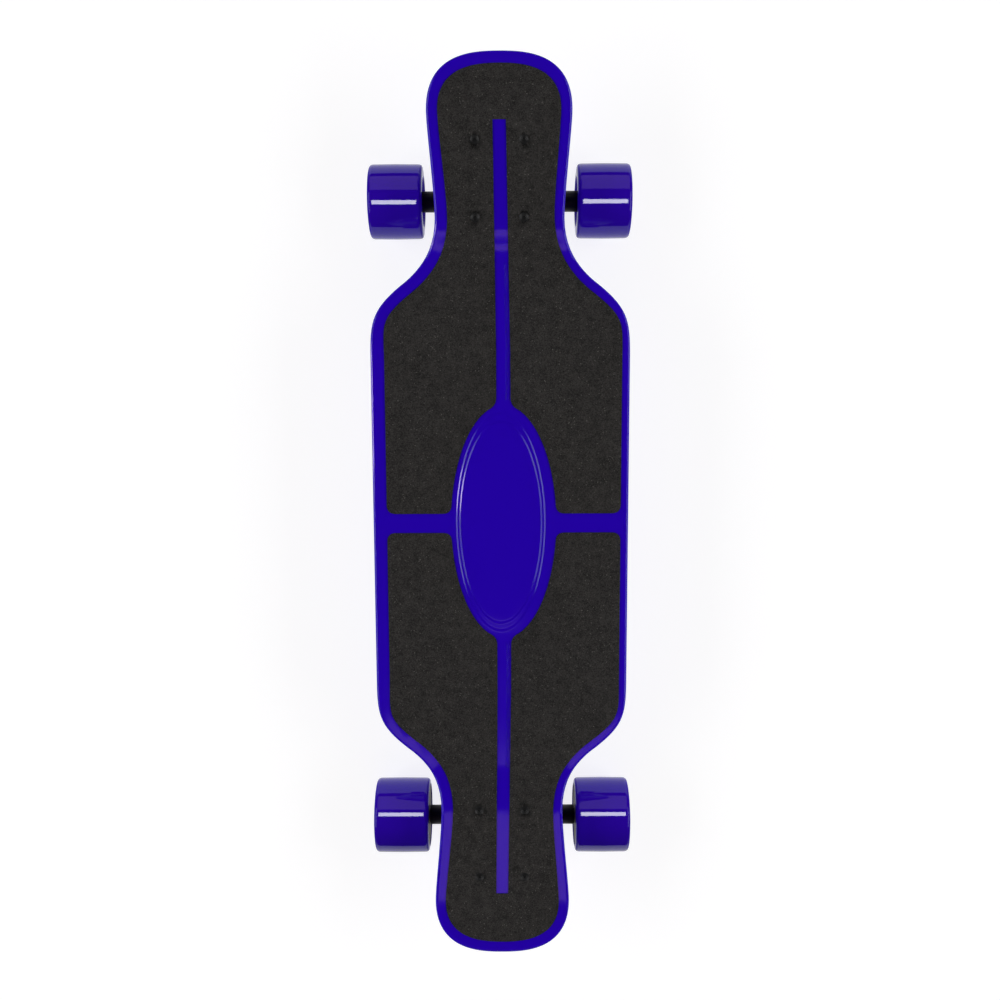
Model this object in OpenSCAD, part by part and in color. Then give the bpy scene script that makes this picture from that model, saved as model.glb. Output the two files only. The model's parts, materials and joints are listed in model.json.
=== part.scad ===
// Electric skateboard: +Y nose, +X right, +Z up, ground at z = 0, millimetres.

/* [Deck] */
// Deck length, nose to tail
deck_len = 790; // [700:1:1000]
// Deck width over the platform
deck_w = 226; // [180:1:250]
// Deck width between the wheels
neck_w = 110.2; // [90:0.2:150]
// Deck width at the nose and tail
tip_w = 123; // [100:0.2:180]
// Deck thickness
deck_t = 11; // [8:0.5:16]
// Rise from the platform to the truck mounts
mount_rise = 9; // [0:0.5:20]
// Rise of the nose and tail tips
kick_rise = 10; // [0:0.5:30]
// Distance from the centre to each truck's bolt pattern
pattern_y = 293.9; // [250:0.1:340]
// Bare rim between the grip tape and the edge
rim = 9.6; // [5:0.1:20]
// Sideways offset of the grip tape between the necks
grip_shift = 2.6; // [-4:0.1:4]
// Grip tape thickness
grip_t = 1; // [0.6:0.1:2]
// Width of the bare crossbar between the grip panels
cross_w = 17; // [8:0.5:40]
// Width of the bare spine at its ends
spine_w = 11; // [6:0.5:30]
// Distance from the centre to the spine's end
spine_y = 342; // [300:1:380]

/* [Oval] */
// Half width of the bare oval
oval_a = 46.5; // [30:0.5:60]
// Half length of the bare oval
oval_b = 104; // [80:1:130]
// Half width of the raised pad
pad_a = 36.6; // [25:0.1:50]
// Half length of the raised pad
pad_b = 91; // [60:1:110]
// Height of each of the pad's two steps
pad_h = 0.9; // [0.4:0.1:3]

/* [Trucks] */
// Truck bolt spacing along the board
bolt_y = 63.5; // [50:0.1:70]
// Truck bolt spacing across the board
bolt_x = 41.3; // [38:0.1:50]
// Truck base plate to axle centre
truck_h = 56; // [48:0.5:65]
// Riser pad thickness
riser_t = 4; // [1:0.5:12]
// Distance between the two ends of a hanger
hanger_w = 144; // [110:1:180]
// Diameter of the hanger's ends
stub_d = 18.5; // [14:0.1:24]

/* [Wheels] */
// Front wheel diameter
wheel_d = 66; // [52:1:90]
// Front wheel width
wheel_w = 49; // [30:1:60]
// Centre of each front wheel across the board
wheel_x = 93; // [70:0.5:120]
// Rear wheel diameter
motor_d = 71; // [66:1:90]
// Rear wheel width
motor_w = 52; // [50:1:60]
// Centre of each rear wheel across the board
motor_x = 95.5; // [70:0.5:120]
// Width of the rounded edge on each side of the tread
edge_w = 3; // [1:0.5:8]

/* [Underside box] */
// Half width of the box
box_x = 66; // [50:1:90]
// Half length of the box
box_y = 186; // [120:1:200]
// Depth of the box below the platform
box_h = 31; // [24:1:45]
// Wall thickness of the box
wall = 2.5; // [1.5:0.1:5]
// Width of the box's flange
flange = 9; // [6:1:16]

/* [Hidden] */
$fn = 48;
half_l = deck_len / 2;
wheel_r = wheel_d / 2;
mount_z = wheel_r + truck_h;
deck_under = mount_z + riser_t - mount_rise;
deck_top = deck_under + deck_t;
mount_top = deck_top + mount_rise;
bend_y = 226;
bend_l = 36;
kick_y = 338;
gap = 0.3;
seat = 0.3;
// Length over which the grip tape returns to the centreline, from each end of the spine
sway_l = 190;
spine_ys = [-spine_y, sway_l - spine_y, spine_y - sway_l, spine_y];
spine_pts = concat([for (y = spine_ys) [spine_w / 2, y]], [for (i = [3:-1:0]) [-spine_w / 2, spine_ys[i]]]);
// Truck side view: [along the board, height] from the pattern centre
ring_c = [-27, -34];
pivot_c = [17, -15];
// Axle centres: front, then rear
front_c = [-8.9, -truck_h];
rear_c = [-0.4, motor_d / 2 - mount_z];
king_lean = 30;
steer_a = atan2(pivot_c[1] - ring_c[1], pivot_c[0] - ring_c[0]);
neck_c = ring_c + 25.3 * [cos(steer_a), sin(steer_a)];
plate_t = 6;
king_r = 4.75;
bush_r = 12.5;
bush_bore = 5;
ring_t = 8;
ring_r = 19;
up_h = 12;
low_h = 10;
washer_t = 1.5;
seat_s = ring_t / 2 + up_h + washer_t;
nut_s = ring_t / 2 + low_h + washer_t;
head_s = 27.5;
cup_in = 35;
cup_out = 52;
pin_in = 30.7;
pin_end = 48;
flare_x = 48;
hub_r = 14.2;
pin_r = 6;
cup_r = 9;
run = 0.05;
// Wheel stations along the axle, from the board's centre
stub_x = hanger_w / 2;
brg_w = 7;
brg_in = stub_x + 1.5;
brg_out = 102;
brg_r = 11;
axle_r = 4;
core_r = 18;
nut_x = brg_out + brg_w + 1.5;
// Hub motor
sleeve_r = 29.5;
can_r = 27;
shaft_r = 6;
boss_r = 7.5;
mot_in = 70.5;
mot_out = 120.5;
stk_in = 81;
stk_l = 26;
stator_r = 24;
tip_r = stator_r - 2.1;
magnet_r = 24.6;
slots = 12;
poles = 14;
mbrg_w = 5;
mbrg_in = mot_in + 3;
mbrg_out = 109.5;
// Box interior
box_low = deck_under - box_h;
flange_z = deck_under - 1 - wall;
cell_r = 9.1;
cell_l = 65;
cell_z = box_low + wall + 1 + cell_r;
cell_y0 = 28;
port_y = -128;
port_z = flange_z - 9;
port_r = 5.6;
cap_t = 1.8;
cap_r = 8;
cap_x = box_x + gap;
hinge_x = box_x + 2.6;
hinge_y = port_y + cap_r + 3.5;
knuckle_r = 2.1;
knuckle_h = 5;
pin_d = 1.8;
ear_z = knuckle_h / 2 + gap;
button_y = -158;
button_r = 5.5;
cable_x = 40;
cable_r = 3.2;
cable_bend = 20;
cable_in = 170;
cable_z = flange_z - 8;

// Helpers
function bez(a, b, c, d, t) = pow(1 - t, 3) * a + 3 * pow(1 - t, 2) * t * b
  + 3 * (1 - t) * t * t * c + t * t * t * d;
function arc_pts(a, b, c, d, n) = [for (i = [1:n]) bez(a, b, c, d, i / n)];
function smooth(t) = t <= 0 ? 0 : t >= 1 ? 1 : (1 - cos(180 * t)) / 2;
function lift(y) = mount_rise * smooth((abs(y) - bend_y) / bend_l)
  + kick_rise * pow(max(0, (abs(y) - kick_y) / (half_l - kick_y)), 2);

// One quarter of the deck's outline, moved inwards by i
shoulder = [85.4, 207.2];
turn = 141.4;
function quarter(i) = let (
    s = shoulder - i * [sin(180 - turn), cos(180 - turn)],
    d = [cos(turn), sin(turn)],
    w = deck_w / 2 - i,
    n = neck_w / 2 - i,
    p = tip_w / 2 - i,
    e = half_l - i)
  concat([[w, 0]],
    arc_pts([w, 140], [w, 174], s - 35.4 * d, s, 9),
    arc_pts(s, s + 4 * d, [n, 228 - i / 2], [n, 262], 8),
    arc_pts([n, 262], [n, 284], [p, 335], [p, 350], 5),
    arc_pts([p, 350], [p, 394 - i], [22 - i / 2, e], [0, e], 12));
function flip(pts, sx, sy) = [for (p = pts) [sx * p[0], sy * p[1]]];
function back(pts) = [for (i = [len(pts) - 2:-1:1]) pts[i]];
function around(i) = concat(quarter(i), flip(back(quarter(i)), -1, 1),
  flip([quarter(i)[0]], -1, 1), flip(quarter(i), -1, -1), flip(back(quarter(i)), 1, -1));
module outline(i) polygon(around(i));

module ellipse(a, b) polygon([for (i = [0:59]) [a * cos(6 * i), b * sin(6 * i)]]);

// Side view of the board between two heights above its underside
steps = concat([0], [for (i = [0:8]) bend_y + bend_l * i / 8],
  [for (i = [0:6]) kick_y + (half_l + 1 - kick_y) * i / 6]);
both = concat([for (i = [len(steps) - 1:-1:1]) -steps[i]], steps);
module along_x(w) rotate([90, 0, 90]) linear_extrude(w, center = true) children();
module board_band(lo, hi) along_x(deck_w + 10)
  polygon(concat([for (y = both) [y, deck_under + lift(y) + lo]],
    [for (i = [len(both) - 1:-1:0]) [both[i], deck_under + lift(both[i]) + hi]]));

// A bar with round ends of different size, drawn flat
module bar(a, ra, b, rb) {
  l = norm(b - a);
  t = atan2(b[1] - a[1], b[0] - a[0]);
  k = acos((ra - rb) / l);
  translate(a) circle(ra);
  translate(b) circle(rb);
  polygon([a + ra * [cos(t + k), sin(t + k)], a + ra * [cos(t - k), sin(t - k)],
    b + rb * [cos(t - k), sin(t - k)], b + rb * [cos(t + k), sin(t + k)]]);
}
module round_rect(x, y, r) {
  square([x - 2 * r, y], center = true);
  square([x, y - 2 * r], center = true);
  for (sx = [-1, 1], sy = [-1, 1]) translate([sx * (x / 2 - r), sy * (y / 2 - r)]) circle(r);
}
module tube(ro, ri, h) linear_extrude(h) difference() {
  circle(ro);
  circle(ri);
}
module bolt_places() for (x = [-bolt_x / 2, bolt_x / 2], y = [-bolt_y / 2, bolt_y / 2])
  translate([x, y, 0]) children();
// The rear truck is the front one mirrored
module at_truck(s) mirror([0, s < 0 ? 1 : 0, 0]) translate([0, pattern_y, mount_z]) children();
// Along the kingpin: z = 0 at the ring's centre, +z towards the nut
module on_king() translate([0, ring_c[0], ring_c[1]]) rotate([180 - king_lean, 0, 0]) children();
// Along the steering axis: z = 0 at the ring's centre, +z towards the pivot
module on_steer() translate([0, ring_c[0], ring_c[1]]) rotate([steer_a - 90, 0, 0]) children();
module on_axle(t) translate(t > 0 ? [0, front_c[0], front_c[1]] : [0, rear_c[0], rear_c[1]]) children();
// Along X from the given station, outwards on the given side
module out_x(s, x) mirror([s < 0 ? 1 : 0, 0, 0]) translate([x, 0, 0]) rotate([0, 90, 0]) children();
module at_wheel(t, s, x) at_truck(t) on_axle(t) out_x(s, x) children();

// Deck and grip
screw_x = box_x + flange / 2;
screw_rows = [-164, -82, 0, 82, 164];
module screw_places() for (s = [-1, 1], y = screw_rows) translate([s * screw_x, y, 0]) children();

module deck() color("#2400a0") difference() {
  union() {
    intersection() {
      linear_extrude(200) outline(0);
      board_band(0, deck_t);
    }
    translate([0, 0, deck_under + 2]) linear_extrude(deck_t - 2 + pad_h) ellipse(pad_a + 4, pad_b + 6);
    translate([0, 0, deck_under + 2]) linear_extrude(deck_t - 2 + 2 * pad_h) ellipse(pad_a, pad_b);
  }
  for (t = [-1, 1]) at_truck(t) bolt_places() cylinder(40, r = 2.6);
  for (t = [-1, 1]) at_truck(t) bolt_places() translate([0, 0, riser_t + deck_t - 2.1])
    cylinder(3, r1 = 2.6, r2 = 5.2);
  for (t = [-1, 1]) at_truck(t) translate([0, 0, -1]) linear_extrude(riser_t + seat + 1)
    round_rect(58 + 2 * gap, 86 + 2 * gap, 6 + gap);
  translate([0, 0, deck_under - 1]) screw_places() cylinder(8.5, r = 2.9);
}

// The grip tape lies off the centreline between the necks
function sway(y) = grip_shift * max(0, min(1, (spine_y - abs(y)) / sway_l));
module grip(s) color("#262626") difference() {
  intersection() {
    linear_extrude(200) difference() {
      polygon([for (p = around(rim)) [p[0] + sway(p[1]), p[1]]]);
      translate([-deck_w, s > 0 ? cross_w / 2 - deck_len : -cross_w / 2]) square([2 * deck_w, deck_len]);
      polygon([for (p = spine_pts) [p[0] + sway(p[1]), p[1]]]);
      translate([grip_shift, 0]) ellipse(oval_a, oval_b);
    }
    board_band(deck_t, deck_t + grip_t);
  }
  at_truck(s) bolt_places() cylinder(40, r = 4.3);
}
module grip_front() grip(1);
module grip_rear() grip(-1);

// Trucks, parts fixed to the board
module risers() color("#161616") for (t = [-1, 1]) at_truck(t) linear_extrude(riser_t + seat) difference() {
  round_rect(58, 86, 6);
  bolt_places() circle(2.7);
  translate([0, -4]) round_rect(24, 22, 4);
}

module baseplate(t) color("#1b1b1e") at_truck(t) difference() {
  union() {
    translate([0, 0, -plate_t]) linear_extrude(plate_t) round_rect(57, 84, 6);
    intersection() {
      union() {
        on_king() translate([0, 0, -seat_s - 22]) cylinder(22, r = 13);
        on_steer() translate([0, 0, cup_in]) cylinder(cup_out + 3 - cup_in, r = 12.5);
        along_x(25) polygon([[-3, -3], [2, -10], [18, -13], [26, -23], [33, -12], [36, -3]]);
      }
      translate([-40, -50, -50]) cube([80, 100, 50]);
    }
  }
  translate([0, 0, -plate_t - 1]) bolt_places() cylinder(plate_t + 2, r = 2.6);
  on_king() translate([0, 0, -seat_s - 20]) cylinder(40, r = king_r);
  on_king() translate([0, 0, -head_s - 30]) cylinder(30, r = 8.4);
  on_steer() translate([0, 0, cup_in - 12]) cylinder(cup_out - cup_in + 12, r = cup_r);
}
module baseplate_front() baseplate(1);
module baseplate_rear() baseplate(-1);

module pivot_cups() color("#b8b8b0") for (t = [-1, 1]) at_truck(t) on_steer() translate([0, 0, cup_in])
  difference() {
    cylinder(cup_out - cup_in, r = cup_r);
    translate([0, 0, -1]) cylinder(cup_out - cup_in - 1.5, r = pin_r + run);
  }

module kingpins() color("#b0b2b4") for (t = [-1, 1]) at_truck(t) on_king() difference() {
  union() {
    translate([0, 0, -head_s]) cylinder(head_s + nut_s + 8.5, r = king_r);
    translate([0, 0, -head_s - 5.5]) cylinder(5.5, r = 8);
  }
  translate([0, 0, -head_s - 6]) cylinder(4, r = 4, $fn = 6);
}
module kingpin_nuts() color("#8c8f92") for (t = [-1, 1]) at_truck(t) on_king()
  translate([0, 0, nut_s]) difference() {
    cylinder(7, r = 8.1, $fn = 6);
    translate([0, 0, -1]) cylinder(9, r = king_r);
  }
module cup_washers() color("#9da0a3") for (t = [-1, 1]) at_truck(t) on_king() {
  translate([0, 0, -seat_s]) tube(bush_r + 1, king_r, washer_t);
  translate([0, 0, nut_s - washer_t]) tube(bush_r - 0.5, king_r, washer_t);
}

module bushing(t, z, h, r1, r2) color("#2a2a2c") at_truck(t) on_king() translate([0, 0, z]) difference() {
  union() {
    cylinder(h / 2, r1 = r1, r2 = (r1 + r2) / 2 + 0.6);
    translate([0, 0, h / 2]) cylinder(h / 2, r1 = (r1 + r2) / 2 + 0.6, r2 = r2);
  }
  translate([0, 0, -1]) cylinder(h + 2, r = bush_bore);
}
module bushing_upper_front() bushing(1, -seat_s + washer_t, up_h, bush_r, bush_r);
module bushing_lower_front() bushing(1, ring_t / 2, low_h, bush_r, bush_r - 2.5);
module bushing_upper_rear() bushing(-1, -seat_s + washer_t, up_h, bush_r, bush_r);
module bushing_lower_rear() bushing(-1, ring_t / 2, low_h, bush_r, bush_r - 2.5);

bolt_top = riser_t + deck_t + grip_t;
module truck_bolts() color("#0e0e10") for (t = [-1, 1]) at_truck(t) bolt_places() difference() {
  union() {
    translate([0, 0, -plate_t - 8]) cylinder(bolt_top + plate_t + 5, r = 2.5);
    translate([0, 0, bolt_top - 3]) cylinder(2, r1 = 2.5, r2 = 4.1);
    translate([0, 0, bolt_top - 1]) cylinder(1, r = 4.1);
  }
  translate([0, 0, bolt_top - 2.2]) cylinder(4, r = 1.9, $fn = 6);
}
module truck_nuts() color("#4a4c50") for (t = [-1, 1]) at_truck(t) bolt_places()
  translate([0, 0, -plate_t - 5.5]) difference() {
    cylinder(5.5, r = 5, $fn = 6);
    translate([0, 0, -1]) cylinder(9, r = 2.5);
  }

// Trucks, parts that steer
module hanger(t, c, neck, bore, half) color("#141216") at_truck(t) difference() {
  union() {
    on_axle(t) rotate([0, 90, 0]) rotate_extrude() polygon([[0, -half], [stub_d / 2, -half],
      [stub_d / 2, -flare_x], [hub_r, -12], [hub_r, 12], [stub_d / 2, flare_x], [stub_d / 2, half],
      [0, half]]);
    difference() {
      union() {
        along_x(22) bar(c, 13, ring_c + [5, -4], 9);
        along_x(20) bar(c, 12, neck, 8);
        along_x(6) bar(ring_c + [6, -3], 8.5, neck, 7.5);
      }
      on_king() translate([0, 0, -45]) cylinder(85, r = ring_r - 3);
    }
    on_king() translate([0, 0, -ring_t / 2]) cylinder(ring_t, r = ring_r);
    on_steer() rotate_extrude() polygon([[0, pin_in], [pin_r, pin_in], [pin_r, pin_end - 3],
      [pin_r - 2, pin_end],
      [0, pin_end]]);
  }
  on_king() translate([0, 0, -ring_t / 2 - 1]) cylinder(ring_t + 2, r = 9.5);
  on_axle(t) rotate([0, 90, 0]) cylinder(hanger_w + 2, r = bore, center = true);
  if (bore > axle_r) on_axle(t) for (s = [-1, 1]) translate([s * cable_x, -4, 0])
    rotate([90, 0, 0]) cylinder(30, r = cable_r);
}
module hanger_front() hanger(1, front_c, neck_c, axle_r, stub_x);
module hanger_rear() hanger(-1, rear_c, neck_c - [1, 2], shaft_r, stub_x - 2.5);

module axle_front() color("#a9abad") at_truck(1) on_axle(1) rotate([0, 90, 0])
  cylinder(2 * (nut_x + 6.5), r = axle_r, center = true);
module axle_rear() color("#a9abad") at_truck(-1) on_axle(-1) rotate([0, 90, 0]) {
  cylinder(2 * (mbrg_out - gap), r = shaft_r, center = true);
  cylinder(2 * (mbrg_out + mbrg_w), r = axle_r, center = true);
}
module axle_nuts() color("#8c8f92") for (s = [-1, 1]) at_wheel(1, s, nut_x) difference() {
  cylinder(6, r = 7.4, $fn = 6);
  translate([0, 0, -1]) cylinder(9, r = axle_r);
}
module axle_washers() color("#9da0a3") for (s = [-1, 1]) {
  at_wheel(1, s, stub_x) tube(6, axle_r, brg_in - gap - stub_x);
  at_wheel(1, s, brg_out + brg_w + gap) tube(6, axle_r, nut_x - brg_out - brg_w - gap);
}
module axle_spacers() color("#c0c2c4") for (s = [-1, 1])
  at_wheel(1, s, brg_in + brg_w + gap) tube(6, axle_r, brg_out - brg_in - brg_w - 2 * gap);

// Front wheels
module tyre(t, s, r, w, x, hole, lo, hi, mouth, lip) color("#2a0a98") at_wheel(t, s, x) rotate_extrude() {
  h = w / 2;
  f = h - edge_w;
  polygon([[hole, lo], [mouth, -h + 1.2], [mouth + lip, -h], [r - 2.6, -h + 0.5], [r - 0.8, -f - 1.7],
    [r, -f], [r, f], [r - 0.8, f + 1.7], [r - 2.6, h - 0.5], [mouth + lip, h], [mouth, h - 1.2], [hole, hi]]);
}
core_lo = brg_in - wheel_x;
core_hi = brg_out + brg_w - wheel_x;
module tyre_front(s) tyre(1, s, wheel_r, wheel_w, wheel_x, core_r, core_lo, core_hi, core_r + 1, 4);
module tyre_front_left() tyre_front(-1);
module tyre_front_right() tyre_front(1);
module core(s) color("#1a1a1c") at_wheel(1, s, brg_in) difference() {
  cylinder(brg_out + brg_w - brg_in, r = core_r);
  translate([0, 0, -1]) cylinder(60, r = 8.5);
  translate([0, 0, -1]) cylinder(brg_w + 1, r = brg_r);
  translate([0, 0, brg_out - brg_in]) cylinder(brg_w + 1, r = brg_r);
}
module core_front_left() core(-1);
module core_front_right() core(1);
module bearing(ro, ri, w) difference() {
  tube(ro, ri, w);
  for (z = [-1, w - 0.4]) translate([0, 0, z]) tube(ro - 1.6, ri + 1.6, 1.4);
}
module bearings_front(s) color("#c8cacc") for (x = [brg_in, brg_out])
  at_wheel(1, s, x) bearing(brg_r, axle_r + run, brg_w);
module bearings_front_left() bearings_front(-1);
module bearings_front_right() bearings_front(1);

// Rear wheels with hub motors
sleeve_h = motor_w / 2 - 1.5;
module tyre_rear(s) tyre(-1, s, motor_d / 2, motor_w, motor_x, sleeve_r, -sleeve_h, sleeve_h, sleeve_r, 0.2);
module tyre_rear_left() tyre_rear(-1);
module tyre_rear_right() tyre_rear(1);
module rotor(s) color("#3a3b3f") {
  at_wheel(-1, s, mot_in) difference() {
    cylinder(mot_out - mot_in, r = sleeve_r);
    translate([0, 0, -1]) cylinder(mot_out - mot_in - 2, r = can_r);
    translate([0, 0, mot_out - mot_in - 0.8]) for (a = [0:60:300]) rotate([0, 0, a])
      translate([16, 0, 0]) cylinder(2, r = 2.2);
  }
  at_wheel(-1, s, mbrg_out) tube(10.5, 8, mot_out - mbrg_out - 1);
}
module rotor_left() rotor(-1);
module rotor_right() rotor(1);
module motor_cover(s) color("#2b2c30") {
  at_wheel(-1, s, mot_in) tube(can_r, 9, mbrg_in - mot_in);
  at_wheel(-1, s, mbrg_in) tube(14.5, 12, mbrg_w);
}
module motor_cover_left() motor_cover(-1);
module motor_cover_right() motor_cover(1);
module motor_bearings(s) color("#c8cacc") {
  at_wheel(-1, s, mbrg_in) bearing(12, boss_r + run, mbrg_w);
  at_wheel(-1, s, mbrg_out) bearing(8, axle_r + run, mbrg_w);
}
module motor_bearings_left() motor_bearings(-1);
module motor_bearings_right() motor_bearings(1);
module magnets(s) color("#707478") at_wheel(-1, s, stk_in) for (i = [0:poles - 1])
  rotate([0, 0, i * 360 / poles]) rotate_extrude(angle = 360 / poles - 4)
    translate([magnet_r, 0]) square([can_r - magnet_r, stk_l]);
module magnets_left() magnets(-1);
module magnets_right() magnets(1);
module stator(s) color("#5a5650") {
  at_wheel(-1, s, stk_in) difference() {
    union() {
      cylinder(stk_l, r = 10);
      for (i = [0:slots - 1]) rotate([0, 0, i * 360 / slots]) translate([8, -1.6, 0])
        cube([tip_r - 7.5, 3.2, stk_l]);
      for (i = [0:slots - 1]) rotate([0, 0, i * 360 / slots - 11]) rotate_extrude(angle = 22)
        translate([tip_r, 0]) square([stator_r - tip_r, stk_l]);
    }
    translate([0, 0, -1]) cylinder(stk_l + 2, r = shaft_r);
  }
  at_wheel(-1, s, stub_x - 2.5) tube(boss_r, shaft_r, stk_in - stub_x + 2.5);
}
module stator_left() stator(-1);
module stator_right() stator(1);
module windings() color("#b06a2c") for (s = [-1, 1]) at_wheel(-1, s, stk_in - 2)
  for (i = [0:slots - 1]) rotate([0, 0, i * 360 / slots]) translate([12.5, 0, 0]) difference() {
    translate([0, -3, 0]) cube([8, 6, stk_l + 4]);
    translate([-1, -1.6, 2]) cube([10, 3.2, stk_l]);
  }

// Cables from the hub motors into the box
cable_low = rear_c[1];
cable_up = cable_z - mount_z;
cable_y1 = -38;
cable_run = (cable_up - cable_low - 2 * cable_bend * (1 - cos(45))) + 2 * cable_bend * sin(45);
function cable_arc(a) = cable_bend * [sin(a), cos(a) - 1];
cable_path = concat([[rear_c[0] - 7, cable_low]],
  [for (a = [0:15:45]) [cable_y1, cable_low] - cable_arc(a)],
  [for (a = [45:-15:0]) [cable_y1 - cable_run, cable_up] + cable_arc(a)],
  [[cable_in - pattern_y, cable_up]]);
cable_sides = 10;
last = len(cable_path) - 1;
function cable_ring(i) = let (
    d = cable_path[min(i + 1, last)] - cable_path[max(i - 1, 0)],
    u = [-d[1], d[0]] / norm(d))
  [for (k = [0:cable_sides - 1]) let (a = 360 * k / cable_sides, h = cable_r * sin(a))
    [cable_r * cos(a), cable_path[i][0] + h * u[0], cable_path[i][1] + h * u[1]]];
module cable() polyhedron(
  points = [for (i = [0:last]) each cable_ring(i)],
  faces = concat([[for (k = [0:cable_sides - 1]) k]],
    [for (i = [1:last], k = [0:cable_sides - 1]) let (a = (i - 1) * cable_sides, b = (k + 1) % cable_sides)
      [a + k, a + cable_sides + k, a + cable_sides + b, a + b]],
    [[for (k = [cable_sides - 1:-1:0]) last * cable_sides + k]]));
module motor_cables() color("#101012") for (s = [-1, 1]) at_truck(-1) translate([s * cable_x, 0, 0]) cable();

// Underside box
module box_form(d, top) {
  z0 = box_low + d;
  intersection() {
    along_x(2 * box_x - 2 * d) polygon([[-box_y + d, top], [-box_y + d, z0 + 9], [-box_y + d + 22, z0],
      [box_y - d - 22, z0], [box_y - d, z0 + 9], [box_y - d, top]]);
    rotate([90, 0, 0]) linear_extrude(2 * box_y + 10, center = true) polygon([[-box_x + d, top],
      [-box_x + d, z0 + 7], [-box_x + d + 9, z0], [box_x - d - 9, z0], [box_x - d, z0 + 7],
      [box_x - d, top]]);
  }
}
module flange_2d() difference() {
  round_rect(2 * (box_x + flange), 2 * (box_y + flange), 12);
  square([2 * (box_x - wall), 2 * (box_y - wall)], center = true);
}
module enclosure() color("#17171a") difference() {
  union() {
    difference() {
      box_form(0, flange_z + wall);
      box_form(wall, flange_z + wall + 1);
    }
    translate([0, 0, flange_z]) linear_extrude(wall) flange_2d();
    for (z = [-ear_z - 2, ear_z]) translate([box_x - 1, hinge_y, port_z + z]) linear_extrude(2) {
      translate([hinge_x - box_x + 1, 0]) circle(knuckle_r);
      translate([0, -knuckle_r]) square([hinge_x - box_x + 1, 2 * knuckle_r]);
    }
    translate([hinge_x, hinge_y, port_z - ear_z - 1]) cylinder(2 * ear_z + 2, r = pin_d / 2);
  }
  translate([0, 0, flange_z - 1]) screw_places() cylinder(9, r = 2.2);
  translate([box_x - 5, port_y, port_z]) rotate([0, 90, 0]) cylinder(9, r = port_r);
  translate([box_x - 5, button_y, port_z]) rotate([0, 90, 0]) cylinder(9, r = button_r + 1.5);
  for (s = [-1, 1]) translate([s * cable_x, -box_y - 3, cable_z]) rotate([-90, 0, 0]) cylinder(9, r = 5);
}
module gasket() color("#0c0c0c") translate([0, 0, deck_under - 1]) linear_extrude(1) difference() {
  flange_2d();
  screw_places() circle(2.3);
}
module enclosure_screws() color("#2c2e31") translate([0, 0, flange_z]) screw_places() difference() {
  union() {
    cylinder(wall + 7, r = 2);
    translate([0, 0, -2.2]) cylinder(2.2, r = 3.7);
  }
  translate([0, 0, -3]) cylinder(2.2, r = 1.5, $fn = 6);
}
module inserts() color("#c9a24a") translate([0, 0, deck_under]) screw_places() tube(2.9, 2, 6.5);

// Battery and electronics
cell_rows = [0, 1, 2, 3];
cell_cols = [-2, -1, 0, 1, 2];
function row_y(r) = cell_y0 + (r - 1.5) * (cell_l + 1);
module battery_cells() color("#3f7f5a") for (r = cell_rows, c = cell_cols)
  translate([c * 19, row_y(r) + cell_l / 2, cell_z]) rotate([90, 0, 0]) {
    cylinder(cell_l - 0.6, r = cell_r);
    translate([0, 0, -0.4]) cylinder(1, r = 3.5);
  }
module cell_strips() color("#c4c6c8") for (r = cell_rows, c = [-1, 1])
  translate([c * 19 - (c > 0 ? 7 : 21), row_y(r) - cell_l / 2 + 8, cell_z + cell_r])
    cube([28, 8, 0.3]);
module bms_board() color("#1f5c3a") translate([-42, row_y(0) - 10, cell_z + cell_r + 1.4]) {
  cube([84, 44, 1.6]);
  for (x = [8:12:68]) translate([x, 10, 1.6]) cube([7, 6, 1.8]);
}
esc_y = -133;
esc_z = box_low + wall + 3;
module heat_plate() color("#9a9da0") translate([-30, esc_y - 23, box_low + wall]) cube([60, 46, 3]);
module controller_board() color("#20402c") translate([-32, esc_y - 25, esc_z]) {
  cube([64, 50, 1.6]);
  for (x = [6:9:51], y = [5, 32]) translate([x, y, 1.6]) cube([6.5, 9, 2.3]);
}
module capacitors() color("#223050") for (x = [-14, 0, 14]) translate([x, esc_y + 7, esc_z + 1.6 + 5.1])
  rotate([90, 0, 0]) cylinder(17, r = 5.1);
module receiver_board() color("#2a3f6c") translate([-53, esc_y - 14, box_low + wall]) {
  cube([18, 34, 1.6]);
  translate([4, 6, 1.6]) cube([10, 12, 2]);
}
lead_r = 1.8;
lead_z = cell_z + cell_r + 3 + lead_r;
lead_y = esc_y + 21;
module battery_leads() color("#b01818") for (x = [-8, 8]) {
  translate([x, row_y(0) - 4, lead_z]) rotate([90, 0, 0]) cylinder(row_y(0) - 4 - lead_y + lead_r, r = lead_r);
  translate([x, lead_y, esc_z + 1.6]) cylinder(lead_z - esc_z - 1.6 + lead_r / 2, r = lead_r);
}

module charge_socket() color("#222226") translate([box_x - 14, port_y, port_z]) rotate([0, 90, 0])
  difference() {
    union() {
      cylinder(14, r = port_r);
      translate([0, 0, 9]) cylinder(wall, r = port_r + 1.6);
    }
    translate([0, 0, 4]) tube(2.9, 1, 10.5);
  }
module port_cap() color("#141414") translate([cap_x, port_y, port_z]) {
  rotate([0, 90, 0]) cylinder(cap_t, r = cap_r);
  difference() {
    union() {
      translate([0, 0, -knuckle_h / 2]) cube([cap_t, hinge_y - port_y, knuckle_h]);
      translate([hinge_x - cap_x, hinge_y - port_y, -knuckle_h / 2]) cylinder(knuckle_h, r = knuckle_r);
    }
    translate([hinge_x - cap_x, hinge_y - port_y, -knuckle_h]) cylinder(2 * knuckle_h, r = pin_d / 2 + run);
  }
}
module button_housing() color("#1c1c1f") translate([box_x - 13, button_y, port_z]) rotate([0, 90, 0])
  difference() {
    union() {
      cylinder(13, r = button_r + 1.5);
      translate([0, 0, 13]) cylinder(1.2, r = button_r + 3);
    }
    translate([0, 0, 4]) cylinder(20, r = button_r + run);
  }
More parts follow.
